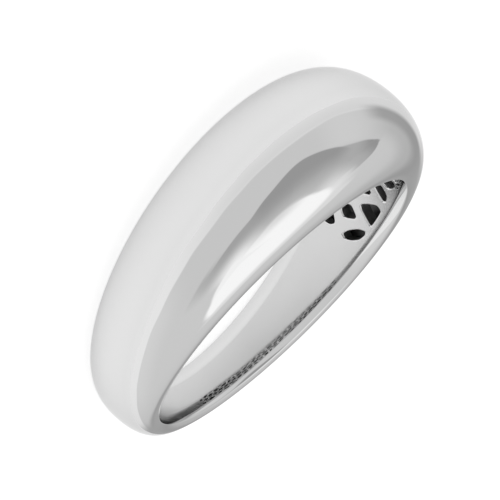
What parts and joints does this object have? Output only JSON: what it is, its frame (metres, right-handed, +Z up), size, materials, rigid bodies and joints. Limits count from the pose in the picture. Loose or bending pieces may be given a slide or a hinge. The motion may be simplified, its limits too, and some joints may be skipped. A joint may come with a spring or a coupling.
{
  "type": "dome ring",
  "caption": "Polished silver dome ring with a hollow domed top that tapers to a narrow shank, and a pierced plate against the finger, lying on its side.",
  "frame": {"origin": "Under the middle of the ring's box, on the surface that it lies on", "axes": "+Z up from the surface that the ring lies on, +Y towards the middle of the dome, +X to the right of someone who looks along +Y; the finger hole's axis leans 7.4 degrees from +Z away from the dome"},
  "size_m": [0.0216, 0.022, 0.0075],
  "materials": {
    "polished_silver": "Mirror-polished silver of a neutral, slightly dark grey, as rhodium plating gives it. The hollow keeps a duller, darker cast skin"
  },
  "bodies": {
    "root": {"ring": "polished_silver"}
  },
  "joints": []
}
